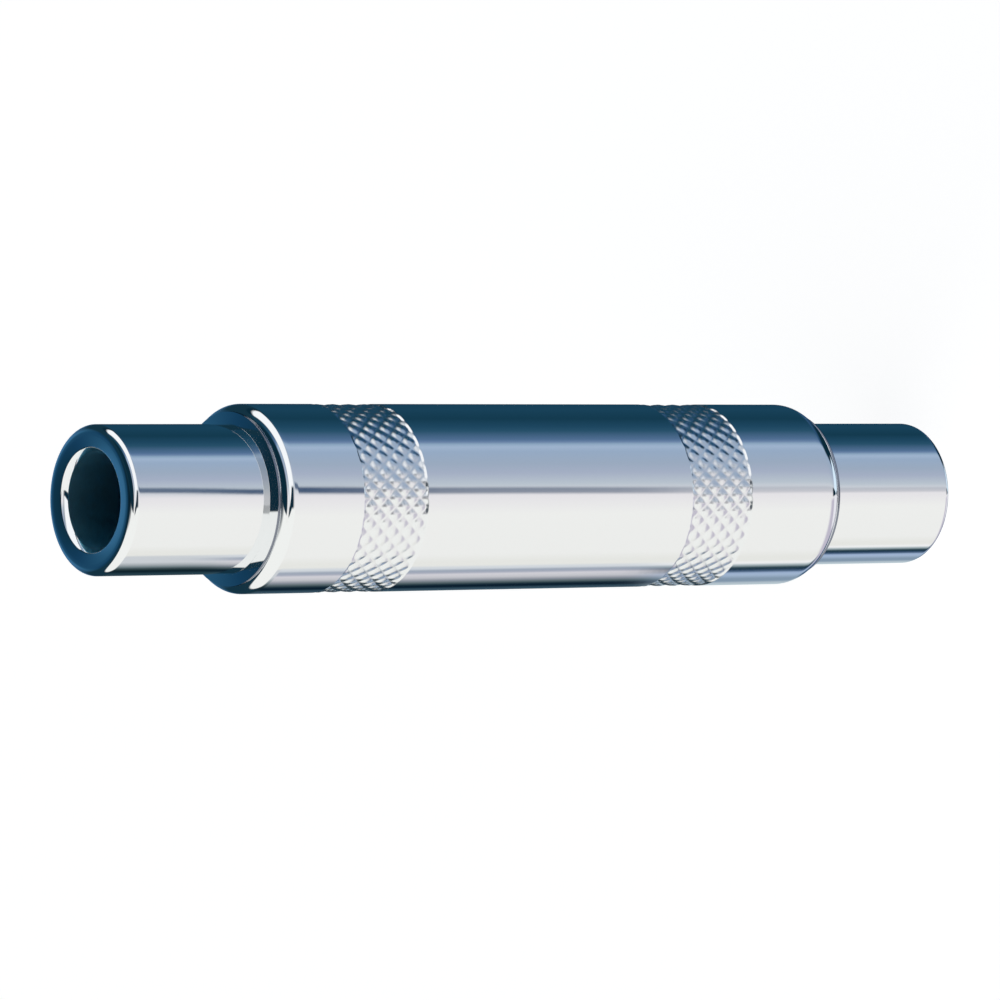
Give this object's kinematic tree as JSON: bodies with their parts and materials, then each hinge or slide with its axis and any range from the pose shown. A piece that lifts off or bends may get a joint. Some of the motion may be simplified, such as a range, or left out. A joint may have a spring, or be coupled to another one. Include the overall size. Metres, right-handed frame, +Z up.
{
  "type": "stereo jack adapter",
  "caption": "Round metal inline coupler with a 6.35 mm stereo jack socket at each end and two diamond-knurled grip bands.",
  "frame": {"origin": "centre of the lower socket's end face, which is the face that the adapter stands on", "axes": "+Z up along the adapter's axis; +X towards the ring contacts, -X towards the tip contacts, +Y towards the ground lugs' tails"},
  "size_m": [0.0126, 0.0126, 0.0706],
  "materials": {
    "chrome": "bright nickel-chrome plating on turned brass",
    "spring_metal": "nickel-plated spring bronze, satin",
    "black_plastic": "moulded black nylon, semi-gloss",
    "disc_board": "brown paper laminate, matt",
    "liner": "thin ivory insulating tube, matt",
    "solder": "dull bright solder",
    "link_wire": "tinned copper wire",
    "red_sleeving": "soft red sleeving, satin",
    "white_sleeving": "soft white sleeving, satin"
  },
  "bodies": {
    "shell": {"barrel": "chrome", "nose_a": "chrome", "nose_b": "chrome", "liner": "liner", "ground_lug_a": "spring_metal", "ground_lug_b": "spring_metal", "carrier_a": "black_plastic", "carrier_b": "black_plastic", "rear_disc_a": "disc_board", "rear_disc_b": "disc_board", "solder_joints_a": "solder", "solder_joints_b": "solder", "tip_wire": "link_wire", "ring_wire": "link_wire", "ground_wire": "link_wire", "tip_sleeving": "red_sleeving", "ring_sleeving": "white_sleeving"},
    "ring_contact_a": {"ring_contact_a": "spring_metal"},
    "ring_contact_b": {"ring_contact_b": "spring_metal"},
    "tip_contact_a": {"tip_contact_a": "spring_metal"},
    "tip_contact_b": {"tip_contact_b": "spring_metal"}
  },
  "joints": [
    {"name": "ring_contact_a_flex", "type": "hinge", "parent": "shell", "child": "ring_contact_a", "pos_m": [0.004, 0, 0.03695], "axis": [0, 1, 0], "range_deg": [0, 2.9], "stiffness_Nm_per_rad": 0.9},
    {"name": "ring_contact_b_flex", "type": "hinge", "parent": "shell", "child": "ring_contact_b", "pos_m": [0.004, 0, 0.03365], "axis": [0, -1, 0], "range_deg": [0, 2.9], "stiffness_Nm_per_rad": 0.9},
    {"name": "tip_contact_a_flex", "type": "hinge", "parent": "shell", "child": "tip_contact_a", "pos_m": [-0.004, 0, 0.03695], "axis": [0, -1, 0], "range_deg": [0, 5.2], "stiffness_Nm_per_rad": 0.35},
    {"name": "tip_contact_b_flex", "type": "hinge", "parent": "shell", "child": "tip_contact_b", "pos_m": [-0.004, 0, 0.03365], "axis": [0, 1, 0], "range_deg": [0, 5.2], "stiffness_Nm_per_rad": 0.35}
  ]
}
